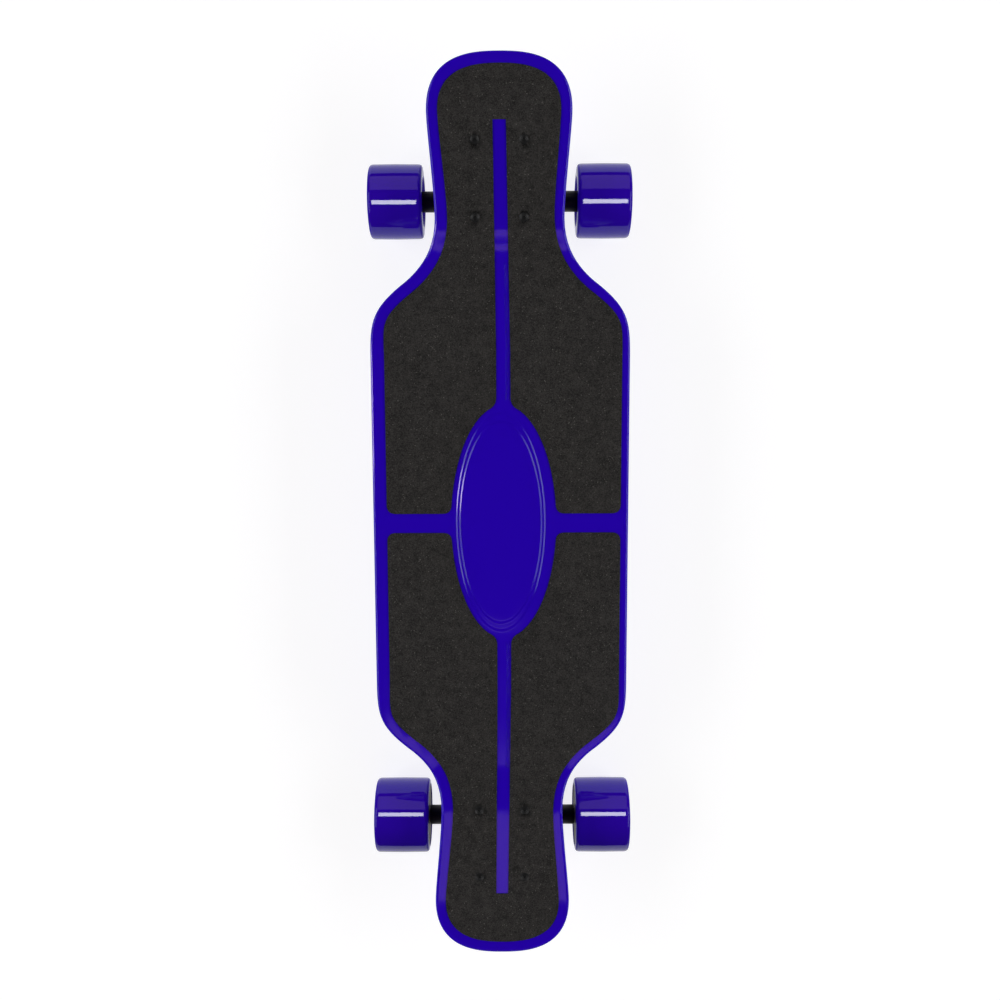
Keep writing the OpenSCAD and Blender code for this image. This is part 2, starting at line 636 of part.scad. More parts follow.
module power_button() color("#3458c8") translate([box_x - 6, button_y, port_z]) rotate([0, 90, 0])
  difference() {
    cylinder(8, r = button_r);
    translate([0, 0, 7.6]) tube(3.6, 3, 1);
  }
module cable_grommets() color("#0e0e0e") for (s = [-1, 1])
  translate([s * cable_x, -box_y - 1, cable_z]) rotate([-90, 0, 0]) difference() {
    union() {
      cylinder(wall + 2, r = 5);
      for (z = [-0.5, wall + 1]) translate([0, 0, z]) cylinder(1.5, r = 6.6);
    }
    translate([0, 0, -1]) cylinder(wall + 6, r = cable_r + gap);
  }

deck();
grip_front();
grip_rear();
risers();
baseplate_front();
baseplate_rear();
pivot_cups();
kingpins();
kingpin_nuts();
cup_washers();
bushing_upper_front();
bushing_lower_front();
bushing_upper_rear();
bushing_lower_rear();
truck_bolts();
truck_nuts();
enclosure();
gasket();
enclosure_screws();
inserts();
battery_cells();
cell_strips();
bms_board();
controller_board();
heat_plate();
capacitors();
receiver_board();
battery_leads();
charge_socket();
port_cap();
button_housing();
power_button();
cable_grommets();
motor_cables();
hanger_front();
axle_front();
axle_nuts();
axle_washers();
axle_spacers();
hanger_rear();
axle_rear();
stator_left();
stator_right();
windings();
tyre_front_left();
tyre_front_right();
core_front_left();
core_front_right();
bearings_front_left();
bearings_front_right();
tyre_rear_left();
tyre_rear_right();
rotor_left();
rotor_right();
magnets_left();
magnets_right();
motor_cover_left();
motor_cover_right();
motor_bearings_left();
motor_bearings_right();
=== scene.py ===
import bpy
import bmesh
import json
import math
from mathutils import Vector, Matrix
from mathutils.geometry import delaunay_2d_cdt

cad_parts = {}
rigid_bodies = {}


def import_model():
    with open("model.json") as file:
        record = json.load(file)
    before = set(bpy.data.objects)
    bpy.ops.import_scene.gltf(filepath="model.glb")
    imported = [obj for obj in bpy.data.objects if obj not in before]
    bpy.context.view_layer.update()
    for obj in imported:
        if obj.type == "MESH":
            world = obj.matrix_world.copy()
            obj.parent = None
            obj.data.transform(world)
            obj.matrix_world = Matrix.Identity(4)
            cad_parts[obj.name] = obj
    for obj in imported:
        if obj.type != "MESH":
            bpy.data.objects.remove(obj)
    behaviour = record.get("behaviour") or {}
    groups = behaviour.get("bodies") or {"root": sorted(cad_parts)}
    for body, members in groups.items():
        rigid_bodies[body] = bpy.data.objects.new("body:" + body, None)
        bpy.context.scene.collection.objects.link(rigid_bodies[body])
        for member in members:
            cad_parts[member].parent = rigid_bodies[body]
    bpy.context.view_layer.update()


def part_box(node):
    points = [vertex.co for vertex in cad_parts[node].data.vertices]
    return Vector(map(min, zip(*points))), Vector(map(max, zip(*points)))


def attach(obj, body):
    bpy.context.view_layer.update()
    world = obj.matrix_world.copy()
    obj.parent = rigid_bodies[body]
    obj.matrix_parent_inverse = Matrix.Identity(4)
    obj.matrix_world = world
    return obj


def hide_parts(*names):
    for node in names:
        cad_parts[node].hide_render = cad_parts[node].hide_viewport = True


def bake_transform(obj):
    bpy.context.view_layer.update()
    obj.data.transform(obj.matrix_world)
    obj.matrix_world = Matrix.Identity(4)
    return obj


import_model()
MM = 0.001

# ---------------------------------------------------------------- sizes
deck_lo, deck_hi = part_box("deck")
HALF_W, HALF_L = deck_hi.x, deck_hi.y
UNDER = deck_lo.z
THICK, MOUNT_RISE, KICK_RISE = 11 * MM, 9 * MM, 10 * MM
BEND_Y, BEND_L, KICK_Y = 226 * MM, 36 * MM, 338 * MM
NECK, TIP = 55.1 * MM, 61.5 * MM
SHOULDER, TURN = (85.4 * MM, 207.2 * MM), math.radians(141.4)
RIM, GRIP_T, CROSS = 9.6 * MM, 1.0 * MM, 8.5 * MM
SPINE_IN, SPINE_END, SPINE_Y = 6.2 * MM, 5.5 * MM, 342 * MM
OVAL_A, OVAL_B = 46.5 * MM, 104 * MM
PAD_A, PAD_B, PAD_H = 36.6 * MM, 91 * MM, 0.9 * MM
EDGE_TOP, EDGE_LOW = 2.6 * MM, 3.2 * MM
GRIP_SHIFT, SWAY_L = 2.6 * MM, 190 * MM
# stations of the outline along the board, and where its curves' handles stand
SIDE_Y, SIDE_PULL, SHOULDER_IN, SHOULDER_OUT = 0.140, 0.174, 0.0354, 0.004
NECK_IN, NECK_Y, NECK_OUT = 0.228, 0.262, 0.284
TIP_IN, TIP_Y, TIP_OUT, NOSE_X = 0.335, 0.350, 0.394, 0.022
# truck bolts, and the room that the deck and the grip tape leave round them
BOLT_R, BOLT_PITCH = 4.1 * MM, 63.5 * MM
WELL_GAP, WELL_D, HOLE_GAP = 0.3 * MM, 5 * MM, 0.12 * MM


def smooth(t):
    """A soft step from 0 to 1."""
    return 0.0 if t <= 0 else 1.0 if t >= 1 else (1 - math.cos(math.pi * t)) / 2


def lift(y):
    """Rise of the board above its platform: the truck mounts, then the nose and tail."""
    a = abs(y)
    kick = max(0, (a - KICK_Y) / (HALF_L - KICK_Y))
    return MOUNT_RISE * smooth((a - BEND_Y) / BEND_L) + KICK_RISE * kick ** 2


def sway(y):
    """The grip tape lies off the centreline between the necks."""
    return GRIP_SHIFT * max(0.0, min(1.0, (SPINE_Y - abs(y)) / SWAY_L))


def top_z(y):
    return UNDER + THICK + lift(y)


def bez(a, b, c, d, n):
    """n points along a cubic curve, without its first."""
    out = []
    for i in range(1, n + 1):
        t = i / n
        w = ((1 - t) ** 3, 3 * t * (1 - t) ** 2, 3 * t * t * (1 - t), t ** 3)
        out.append(tuple(w[0] * a[k] + w[1] * b[k] + w[2] * c[k] + w[3] * d[k] for k in (0, 1)))
    return out


def quarter(i):
    """One quarter of the deck's outline moved inwards by i, from the middle of the side to the tip."""
    nx, ny = math.sin(math.pi - TURN), math.cos(math.pi - TURN)
    s = (SHOULDER[0] - i * nx, SHOULDER[1] - i * ny)
    d = (math.cos(TURN), math.sin(TURN))
    w, n, p, e = HALF_W - i, NECK - i, TIP - i, HALF_L - i
    s_in = (s[0] - SHOULDER_IN * d[0], s[1] - SHOULDER_IN * d[1])
    s_out = (s[0] + SHOULDER_OUT * d[0], s[1] + SHOULDER_OUT * d[1])
    pts = [(w, y * MM) for y in range(0, 140, 7)]
    pts += bez((w, SIDE_Y), (w, SIDE_PULL), s_in, s, 16)
    pts += bez(s, s_out, (n, NECK_IN - i / 2), (n, NECK_Y), 14)
    pts += bez((n, NECK_Y), (n, NECK_OUT), (p, TIP_IN), (p, TIP_Y), 14)
    pts += bez((p, TIP_Y), (p, TIP_OUT - i), (NOSE_X - i / 2, e), (0, e), 28)
    return pts


def outline(i):
    """The whole outline moved inwards by i."""
    q = quarter(i)
    left = [(-x, y) for x, y in q[-2:0:-1]]
    upper = q + left + [(-q[0][0], q[0][1])]
    lower = [(-x, -y) for x, y in upper[1:-1]]
    return upper + lower


def obj_from(name, verts, faces, mat, smooth_angle):
    """A smooth-shaded object whose edges stay sharp above the angle."""
    me = bpy.data.meshes.new(name)
    me.from_pydata([tuple(v) for v in verts], [], [tuple(f) for f in faces])
    me.validate()
    bm = bmesh.new()
    bm.from_mesh(me)
    bmesh.ops.recalc_face_normals(bm, faces=bm.faces)
    bm.to_mesh(me)
    bm.free()
    me.shade_smooth()
    me.set_sharp_from_angle(angle=math.radians(smooth_angle))
    o = bpy.data.objects.new(name, me)
    bpy.context.scene.collection.objects.link(o)
    me.materials.append(mat)
    return o


def fill(loops, extra):
    """Triangles inside the loops, through the extra points. The first loop is the outer one."""
    pts, edges = [], []
    for loop in loops:
        b = len(pts)
        pts += [Vector(p) for p in loop]
        edges += [(b + k, b + (k + 1) % len(loop)) for k in range(len(loop))]
    pts += [Vector(p) for p in extra]
    v, _, f, ov, _, _ = delaunay_2d_cdt(pts, edges, [], 1, 1e-7)
    index = {}
    for new, olds in enumerate(ov):
        for old in olds:
            index[old] = new
    return [tuple(p) for p in v], [tuple(t) for t in f], index


def inside(p, loop):
    x, y = p
    hit = False
    for k in range(len(loop)):
        x1, y1 = loop[k]
        x2, y2 = loop[k - 1]
        if (y1 > y) != (y2 > y) and x < (x2 - x1) * (y - y1) / (y2 - y1) + x1:
            hit = not hit
    return hit


def near(p, loop, d):
    """Whether the point is closer than d to the loop."""
    x, y = p
    for k in range(len(loop)):
        x1, y1 = loop[k]
        x2, y2 = loop[k - 1]
        dx, dy = x2 - x1, y2 - y1
        l2 = dx * dx + dy * dy
        t = 0 if l2 == 0 else max(0, min(1, ((x - x1) * dx + (y - y1) * dy) / l2))
        if (x - x1 - t * dx) ** 2 + (y - y1 - t * dy) ** 2 < d * d:
            return True
    return False


def ellipse(a, b, n=96):
    return [(a * math.cos(2 * math.pi * k / n), b * math.sin(2 * math.pi * k / n)) for k in range(n)]


# ---------------------------------------------------------------- materials
def new_mat(name):
    m = bpy.data.materials.new(name)
    m.use_nodes = True
    nt = m.node_tree
    return m, nt, nt.nodes["Principled BSDF"]


def node(nt, kind, **values):
    """A shader node with the given inputs or settings."""
    n = nt.nodes.new(kind)
    for k, v in values.items():
        if k in n.inputs:
            n.inputs[k].default_value = v
        else:
            setattr(n, k, v)
    return n


def noise_bump(nt, bsdf, scale, strength, distance, detail=3.0):
    co = node(nt, "ShaderNodeTexCoord")
    tex = node(nt, "ShaderNodeTexNoise", Scale=scale, Detail=detail)
    bump = node(nt, "ShaderNodeBump", Strength=strength, Distance=distance)
    nt.links.new(co.outputs["Object"], tex.inputs["Vector"])
    nt.links.new(tex.outputs["Fac"], bump.inputs["Height"])
    nt.links.new(bump.outputs["Normal"], bsdf.inputs["Normal"])
    return co, tex, bump


def vary_rough(nt, bsdf, co, scale, low, high):
    tex = node(nt, "ShaderNodeTexNoise", Scale=scale, Detail=4.0)
    rng = nt.nodes.new("ShaderNodeMapRange")
    rng.inputs["From Min"].default_value, rng.inputs["From Max"].default_value = 0.35, 0.7
    rng.inputs["To Min"].default_value, rng.inputs["To Max"].default_value = low, high
    nt.links.new(co.outputs["Object"], tex.inputs["Vector"])
    nt.links.new(tex.outputs["Fac"], rng.inputs["Value"])
    nt.links.new(rng.outputs["Result"], bsdf.inputs["Roughness"])


def plain(name, colour, rough, metal=0.0, spec=0.5, coat=0.0, bump=(900, 0.15, 0.0001), spread=0.05):
    """One colour with a fine bump (scale, strength, distance) and roughness that varies by spread."""
    m, nt, b = new_mat(name)
    b.inputs["Base Color"].default_value = (*colour, 1)
    b.inputs["Metallic"].default_value = metal
    b.inputs["Specular IOR Level"].default_value = spec
    b.inputs["Coat Weight"].default_value = coat
    co, _, _ = noise_bump(nt, b, *bump)
    vary_rough(nt, b, co, 60, max(0.02, rough - spread), rough + spread)
    return m


def deck_material():
    m, nt, b = new_mat("deck_blue")
    b.inputs["Specular IOR Level"].default_value = 0.28
    b.inputs["Coat Weight"].default_value = 0.0
    co = node(nt, "ShaderNodeTexCoord")
    grain = node(nt, "ShaderNodeTexNoise", Scale=170.0, Detail=5.0)
    nt.links.new(co.outputs["Object"], grain.inputs["Vector"])
    bump = node(nt, "ShaderNodeBump", Strength=0.35, Distance=0.00004)
    nt.links.new(grain.outputs["Fac"], bump.inputs["Height"])
    nt.links.new(bump.outputs["Normal"], b.inputs["Normal"])
    cloud = node(nt, "ShaderNodeTexNoise", Scale=9.0, Detail=3.0)
    nt.links.new(co.outputs["Object"], cloud.inputs["Vector"])
    mix = node(nt, "ShaderNodeMix", data_type="RGBA")
    mix.inputs[6].default_value = (0.0245, 0.0001, 0.58, 1)
    mix.inputs[7].default_value = (0.029, 0.0003, 0.62, 1)
    nt.links.new(cloud.outputs["Fac"], mix.inputs[0])
    nt.links.new(mix.outputs[2], b.inputs["Base Color"])
    vary_rough(nt, b, co, 45, 0.1, 0.16)
    return m


def grip_material():
    m, nt, b = new_mat("grip_black")
    b.inputs["Specular IOR Level"].default_value = 0.25
    b.inputs["Roughness"].default_value = 0.85
    co = node(nt, "ShaderNodeTexCoord")
    fine = node(nt, "ShaderNodeTexNoise", Scale=1100.0, Detail=4.0, Roughness=0.7)
    cloud = node(nt, "ShaderNodeTexNoise", Scale=130.0, Detail=6.0, Roughness=0.75)
    for t in (fine, cloud):
        nt.links.new(co.outputs["Object"], t.inputs["Vector"])
    both = node(nt, "ShaderNodeMath", operation="MULTIPLY_ADD")
    both.inputs[1].default_value = 0.7
    nt.links.new(fine.outputs["Fac"], both.inputs[0])
    half = node(nt, "ShaderNodeMath", operation="MULTIPLY")
    half.inputs[1].default_value = 0.3
    nt.links.new(cloud.outputs["Fac"], half.inputs[0])
    nt.links.new(half.outputs[0], both.inputs[2])
    ramp = node(nt, "ShaderNodeValToRGB")
    ramp.color_ramp.elements[0].position, ramp.color_ramp.elements[1].position = 0.38, 0.64
    ramp.color_ramp.elements[0].color = (0.005, 0.0048, 0.0046, 1)
    ramp.color_ramp.elements[1].color = (0.062, 0.059, 0.055, 1)
    nt.links.new(both.outputs[0], ramp.inputs["Fac"])
    grit = node(nt, "ShaderNodeTexVoronoi", Scale=1500.0)
    nt.links.new(co.outputs["Object"], grit.inputs["Vector"])
    spark = node(nt, "ShaderNodeMath", operation="LESS_THAN")
    spark.inputs[1].default_value = 0.992
    sep = node(nt, "ShaderNodeSeparateColor")
    nt.links.new(grit.outputs["Color"], sep.inputs[0])
    nt.links.new(sep.outputs[0], spark.inputs[0])
    mix = node(nt, "ShaderNodeMix", data_type="RGBA")
    mix.inputs[6].default_value = (0.12, 0.115, 0.105, 1)
    nt.links.new(spark.outputs[0], mix.inputs[0])
    nt.links.new(ramp.outputs["Color"], mix.inputs[7])
    nt.links.new(mix.outputs[2], b.inputs["Base Color"])
    bump = node(nt, "ShaderNodeBump", Strength=0.8, Distance=0.0005)
    nt.links.new(both.outputs[0], bump.inputs["Height"])
    nt.links.new(bump.outputs["Normal"], b.inputs["Normal"])
    return m


M = {
    "deck": deck_material(),
    "grip": grip_material(),
    "urethane": plain("wheel_blue", (0.022, 0.0012, 0.33), 0.05, spec=0.36, bump=(28, 0.03, 0.0012),
                      spread=0.012),
    "truck": plain("truck_black", (0.0055, 0.005, 0.006), 0.42, spec=0.22, bump=(700, 0.25, 0.0002)),
    "steel": plain("steel_satin", (0.52, 0.53, 0.54), 0.28, metal=1.0, bump=(1300, 0.2, 0.0001)),
    "zinc": plain("zinc_plate", (0.42, 0.41, 0.38), 0.35, metal=1.0, bump=(500, 0.25, 0.0001)),
    "bolt": plain("bolt_black", (0.02, 0.02, 0.0205), 0.46, spec=0.3, bump=(900, 0.2, 0.0001)),
    "rubber": plain("rubber_black", (0.018, 0.018, 0.019), 0.6, spec=0.3, bump=(500, 0.3, 0.0002)),
    "bushing": plain("bushing_urethane", (0.03, 0.03, 0.032), 0.35, spec=0.5, bump=(200, 0.15, 0.0003)),
    "core": plain("core_nylon", (0.006, 0.006, 0.0065), 0.5, spec=0.2, bump=(600, 0.2, 0.0002)),
    "shell": plain("motor_anodised", (0.018, 0.018, 0.021), 0.55, spec=0.16, bump=(1500, 0.15, 0.0001)),
    "magnet": plain("magnet_nickel", (0.45, 0.46, 0.48), 0.22, metal=1.0),
    "lamination": plain("lamination_steel", (0.16, 0.15, 0.14), 0.5, metal=0.7, bump=(2500, 0.4, 0.0001)),
    "copper": plain("copper_enamel", (0.62, 0.22, 0.07), 0.25, metal=0.9, bump=(1800, 0.5, 0.0002)),
    "box": plain("box_textured", (0.012, 0.012, 0.0135), 0.5, spec=0.4, bump=(1700, 0.55, 0.00025)),
    "brass": plain("insert_brass", (0.7, 0.46, 0.16), 0.3, metal=1.0),
    "cell": plain("cell_sleeve", (0.03, 0.2, 0.1), 0.3, bump=(120, 0.2, 0.0002)),
    "board": plain("board_mask", (0.008, 0.09, 0.035), 0.35, bump=(800, 0.2, 0.0001)),
    "cap_sleeve": plain("capacitor_sleeve", (0.02, 0.03, 0.1), 0.3),
    "lead": plain("lead_red", (0.5, 0.012, 0.01), 0.4),
    "button": plain("button_blue", (0.03, 0.06, 0.5), 0.2, coat=0.4),
    "cable": plain("cable_jacket", (0.01, 0.01, 0.011), 0.45, bump=(700, 0.25, 0.0002)),
    "white": plain("cup_urethane", (0.5, 0.49, 0.44), 0.5),
}

# the tread is polished and the tyres' side faces are matt: the wheels turn about X
nt = M["urethane"].node_tree
co = node(nt, "ShaderNodeTexCoord")
sep = node(nt, "ShaderNodeSeparateXYZ")
nt.links.new(co.outputs["Normal"], sep.inputs[0])
side_on = node(nt, "ShaderNodeMath", operation="ABSOLUTE")
nt.links.new(sep.outputs["X"], side_on.inputs[0])
rng = nt.nodes.new("ShaderNodeMapRange")
rng.inputs["From Min"].default_value, rng.inputs["From Max"].default_value = 0.28, 0.6
rng.inputs["To Min"].default_value, rng.inputs["To Max"].default_value = 0.34, 0.02
nt.links.new(side_on.outputs[0], rng.inputs["Value"])
nt.links.new(rng.outputs["Result"], nt.nodes["Principled BSDF"].inputs["Specular IOR Level"])

# ---------------------------------------------------------------- CAD nodes that stay, with finish
FINISH = {
    "truck": ["baseplate_front", "baseplate_rear", "hanger_front", "hanger_rear"],
    "zinc": ["kingpins", "kingpin_nuts", "cup_washers", "truck_nuts"],
    "steel": ["axle_front", "axle_nuts", "axle_washers", "axle_spacers", "axle_rear", "cell_strips",
              "bearings_front_left", "bearings_front_right", "motor_bearings_left", "motor_bearings_right"],
    "bolt": ["enclosure_screws"],
    "rubber": ["risers", "gasket", "cable_grommets", "port_cap"],
    "white": ["pivot_cups"],
    "core": ["core_front_left", "core_front_right"],
    "shell": ["rotor_left", "rotor_right", "motor_cover_left", "motor_cover_right", "heat_plate"],
    "magnet": ["magnets_left", "magnets_right"],
    "lamination": ["stator_left", "stator_right"],
    "copper": ["windings"],
    "box": ["enclosure", "charge_socket", "button_housing"],
    "brass": ["inserts"],
    "cell": ["battery_cells"],
    "board": ["bms_board", "controller_board", "receiver_board"],
    "cap_sleeve": ["capacitors"],
    "lead": ["battery_leads"],
    "button": ["power_button"],
}
# width of the softened edges, in millimetres
BEVEL = {"baseplate_front": 1.2, "baseplate_rear": 1.2, "hanger_front": 1.6, "hanger_rear": 1.6,
         "risers": 0.8, "enclosure": 1.6, "rotor_left": 0.8, "rotor_right": 0.8, "core_front_left": 0.5,
         "core_front_right": 0.5, "kingpins": 0.5, "kingpin_nuts": 0.6, "truck_nuts": 0.5,
         "enclosure_screws": 0.4, "axle_nuts": 0.5, "axle_front": 0.5, "port_cap": 0.4,
         "power_button": 0.5, "button_housing": 0.3, "cup_washers": 0.4, "cable_grommets": 0.4}
for key, names in FINISH.items():
    for n in names:
        o = bpy.data.objects[n]
        o.data.materials.clear()
        o.data.materials.append(M[key])
        o.data.shade_smooth()
        o.data.set_sharp_from_angle(angle=math.radians(28))
        if n in BEVEL:
            weld = o.modifiers.new("weld", "WELD")
            weld.merge_threshold = 1e-6
            bev = o.modifiers.new("edge", "BEVEL")
            bev.width, bev.segments, bev.limit_method = BEVEL[n] * MM, 3, "ANGLE"
            bev.angle_limit = math.radians(32)
            bev.harden_normals = True

# ---------------------------------------------------------------- deck
BOLTS = []
b_lo, b_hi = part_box("truck_bolts")
BX = b_hi.x - BOLT_R
BY_OUT = b_hi.y - BOLT_R
BY_IN = BY_OUT - BOLT_PITCH
for sx in (-1, 1):
    for sy in (-1, 1):
        BOLTS += [(sx * BX, sy * BY_OUT), (sx * BX, sy * BY_IN)]


def ring_at(c, r, n=20):
    turns = [2 * math.pi * k / n for k in range(n)]
    return [(c[0] + r * math.cos(t), c[1] + r * math.sin(t)) for t in turns]


# the rounded side: (how far in, how high above the underside) for each ring, from the top down
rings = []
for k in range(7):
    a = math.radians(90 - 15 * k)
    rings.append((EDGE_TOP * (1 - math.cos(a)), THICK - EDGE_TOP + EDGE_TOP * math.sin(a)))
for k in range(6):
    a = math.radians(18 * k)
    rings.append((EDGE_LOW * (1 - math.cos(a)), EDGE_LOW - EDGE_LOW * math.sin(a)))
loops = [outline(i) for i, _ in rings]
count = len(loops[0])
verts, faces = [], []
for loop, (_, h) in zip(loops, rings):
    verts += [(x, y, UNDER + lift(y) + h) for x, y in loop]
for r in range(len(rings) - 1):
    for k in range(count):
        a, b = r * count + k, r * count + (k + 1) % count
        faces.append((a, b, b + count, a + count))


def pad(x, y):
    """Height of the raised oval above the deck, in two steps."""
    s = math.hypot(x / PAD_A, y / PAD_B)
    outer = smooth((1.09 - s) / 0.05)
    inner = smooth((1.008 - s) / 0.045)
    return PAD_H * (outer + inner)


OUTER_STEP = (1.09, 1.078, 1.065, 1.052, 1.04)
INNER_STEP = (1.008, 0.997, 0.986, 0.974, 0.963)
ovals = [ellipse(PAD_A * s, PAD_B * s) for s in OUTER_STEP + INNER_STEP]


def grid(loop, step, away, skip=()):
    """Points inside the loop, closer together in the bends, and clear of it and the loops to skip."""
    out = []
    ys = max(p[1] for p in loop)
    yl = min(p[1] for p in loop)
    xs = max(p[0] for p in loop)
    j = 0
    y = yl + step / 2
    while y < ys:
        x = -xs + (step / 2 if j % 2 else step)
        while x < xs:
            if inside((x, y), loop) and not near((x, y), loop, away):
                if not any(near((x, y), s, away) for s in skip):
                    out.append((x, y))
            x += step
        fine = abs(abs(y) - BEND_Y - BEND_L / 2) < BEND_L * 0.62 or abs(y) > KICK_Y - step
        y += step * (0.5 if fine else 1)
        j += 1
    return out


wells = [ring_at(c, BOLT_R + WELL_GAP) for c in BOLTS]


def off_bolts(t, p):
    """Whether the triangle lies outside the bolt holes."""
    cx, cy = sum(p[v][0] for v in t) / 3, sum(p[v][1] for v in t) / 3
    return all((cx - h[0]) ** 2 + (cy - h[1]) ** 2 > (BOLT_R * 0.98) ** 2 for h in BOLTS)


TOP_STEP, TOP_AWAY, LOW_STEP, LOW_AWAY = 9 * MM, 3 * MM, 16 * MM, 5 * MM
clear = [ovals[0], ovals[5], ovals[9]] + wells
pts2, tris, where = fill([loops[0]] + ovals + wells, grid(loops[0], TOP_STEP, TOP_AWAY, clear))
base = len(verts)
verts += [(x, y, top_z(y) + pad(x, y)) for x, y in pts2]
faces += [tuple(base + v for v in t) for t in tris if off_bolts(t, pts2)]
first = len(loops[0]) + sum(len(o) for o in ovals)
for w in wells:
    wb = len(verts)
    verts += [(x, y, top_z(y) - WELL_D) for x, y in w]
    for k in range(len(w)):
        j = (k + 1) % len(w)
        faces.append((base + where[first + k], base + where[first + j], wb + j, wb + k))
    first += len(w)
for k in range(count):
    verts[k] = verts[base + where[k]]
low = loops[-1]
pts2, tris, _ = fill([low], grid(low, LOW_STEP, LOW_AWAY))
base = len(verts)
verts += [(x, y, UNDER + lift(y)) for x, y in pts2]
faces += [tuple(base + v for v in t) for t in tris]
deck = obj_from("deck_shell", verts, faces, M["deck"], 40)
bm = bmesh.new()
bm.from_mesh(deck.data)
bmesh.ops.remove_doubles(bm, verts=bm.verts, dist=2e-6)
bmesh.ops.recalc_face_normals(bm, faces=bm.faces)
bm.to_mesh(deck.data)
bm.free()
deck.data.shade_smooth()
deck.data.set_sharp_from_angle(angle=math.radians(40))
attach(deck, "board")
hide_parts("deck")


# moulded studs along one side of the spine
STUD_R, STUD_H, STUD_PITCH = 0.55 * MM, 0.4 * MM, 1.8 * MM
STUD_X, STUD_Y, STUD_L = 2.2 * MM, 109 * MM, 117 * MM
EIGHTH = math.pi / 4
verts, faces = [], []
for sign in (-1, 1):
    for row in range(int(STUD_L / STUD_PITCH * 2)):
        for col in range(4):
            if (row + col) % 2:
                continue
            cx, cy = STUD_X + col * STUD_PITCH / 2, sign * (STUD_Y + row * STUD_PITCH / 2)
            cx += sway(cy)
            b0 = len(verts)
            for r, h in ((1.0, -0.1), (0.8, 0.6), (0.4, 0.93)):
                verts += [(cx + STUD_R * r * math.cos(k * EIGHTH), cy + STUD_R * r * math.sin(k * EIGHTH),
                           top_z(cy) + STUD_H * h) for k in range(8)]
            verts.append((cx, cy, top_z(cy) + STUD_H))
            for k in range(8):
                j = (k + 1) % 8
                faces += [(b0 + k, b0 + j, b0 + 8 + j, b0 + 8 + k),
                          (b0 + 8 + k, b0 + 8 + j, b0 + 16 + j, b0 + 16 + k),
                          (b0 + 16 + k, b0 + 16 + j, b0 + 24)]
studs = obj_from("spine_studs", verts, faces, M["deck"], 60)
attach(studs, "board")


# ---------------------------------------------------------------- grip tape
def soften(loop, corner, r, n=9):
    """Rounds the corner nearest to the given point by a radius of about r."""
    c = min(range(len(loop)), key=lambda k: (loop[k][0] - corner[0]) ** 2 + (loop[k][1] - corner[1]) ** 2)
    p = Vector(loop[c])

    def walk(step):
        k, left, cut = c, r, []
        while True:
            a, b = Vector(loop[k % len(loop)]), Vector(loop[(k + step) % len(loop)])
            d = (b - a).length
            if d >= left:
                return a.lerp(b, left / d), cut
            left -= d
            k += step
            cut.append(k % len(loop))

    fwd, cut_f = walk(1)
    bwd, cut_b = walk(-1)
    curve = []
    for i in range(n + 1):
        t = i / n
        curve.append(tuple(bwd * (1 - t) ** 2 + p * 2 * t * (1 - t) + fwd * t * t))
    gone = set(cut_f) | set(cut_b) | {c}
    first = (max(cut_f, key=lambda k: (k - c) % len(loop)) + 1) % len(loop) if cut_f else (c + 1) % len(loop)
    keep = []
    k = first
    while k not in gone:
        keep.append(loop[k])
        k = (k + 1) % len(loop)
        if k == first:
            break
    return keep + curve


OUTER_R, INNER_R = 8.0 * MM, 7.5 * MM


def panel_loop(i=0.0):
    """The front grip panel's outline, moved inwards by i."""
    q = [p for p in quarter(RIM + i) if p[1] > CROSS + i]
    a, b = OVAL_A + i, OVAL_B + i
    t0 = math.asin((CROSS + i) / b)
    sx = SPINE_IN + i
    t1 = math.acos(sx / a)
    turns = [t0 + (t1 - t0) * k / 40 for k in range(41)]
    arc = [(a * math.cos(t), b * math.sin(t)) for t in turns]
    w = HALF_W - RIM - i
    side = [(w, CROSS + i)] + q
    y0 = arc[-1][1]
    spine = [(SPINE_IN + (SPINE_END - SPINE_IN) * k / 30 + i, y0 + (SPINE_Y + i - y0) * k / 30)
             for k in range(1, 31)]
    right = side + [(-x, y) for x, y in side[-2::-1]]
    loop = right + [(-x, y) for x, y in arc] + [(-x, y) for x, y in spine] + spine[::-1] + arc[::-1]
    for (x, y), r in (((w, CROSS + i), OUTER_R), (arc[0], INNER_R), (arc[-1], INNER_R)):
        for c in ((x, y), (-x, y)):
            loop = soften(loop, c, r)
    return [(x + sway(y), y) for x, y in loop]


SHOULDER_W, SHOULDER_H, SUNK = 0.35 * MM, 0.3 * MM, 0.1 * MM
for name, sign in (("grip_sheet_front", 1), ("grip_sheet_rear", -1)):
    edge = panel_loop()
    top = panel_loop(SHOULDER_W)
    holes = [ring_at(c, BOLT_R + HOLE_GAP) for c in BOLTS if c[1] > 0]
    n = len(top)
    p2, tr, idx = fill([top] + holes, grid(top, TOP_STEP, TOP_AWAY, holes))
    verts = [(x, y, top_z(y) + GRIP_T) for x, y in p2]
    faces = [t for t in tr if off_bolts(t, p2)]
    # bevelled shoulder and side of the sheet
    b0 = len(verts)
    verts += [(x, y, top_z(y) + GRIP_T - SHOULDER_H) for x, y in edge]
    b1 = len(verts)
    verts += [(x, y, top_z(y) - SUNK) for x, y in edge]
    for k in range(n):
        j = (k + 1) % n
        faces.append((idx[k], idx[j], b0 + j, b0 + k))
        faces.append((b0 + k, b0 + j, b1 + j, b1 + k))
    off = n
    for h in holes:
        hb = len(verts)
        verts += [(x, y, top_z(y) - SUNK) for x, y in h]
        for k in range(len(h)):
            j = (k + 1) % len(h)
            faces.append((idx[off + k], idx[off + j], hb + j, hb + k))
        off += len(h)
    verts = [(x, y * sign, z) for x, y, z in verts]
    g = obj_from(name, verts, faces, M["grip"], 50)
    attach(g, "board")
    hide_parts("grip_front" if sign > 0 else "grip_rear")


# ---------------------------------------------------------------- truck bolts with grooved heads
HEX_R, BOLT_N = 1.9 * MM, 48


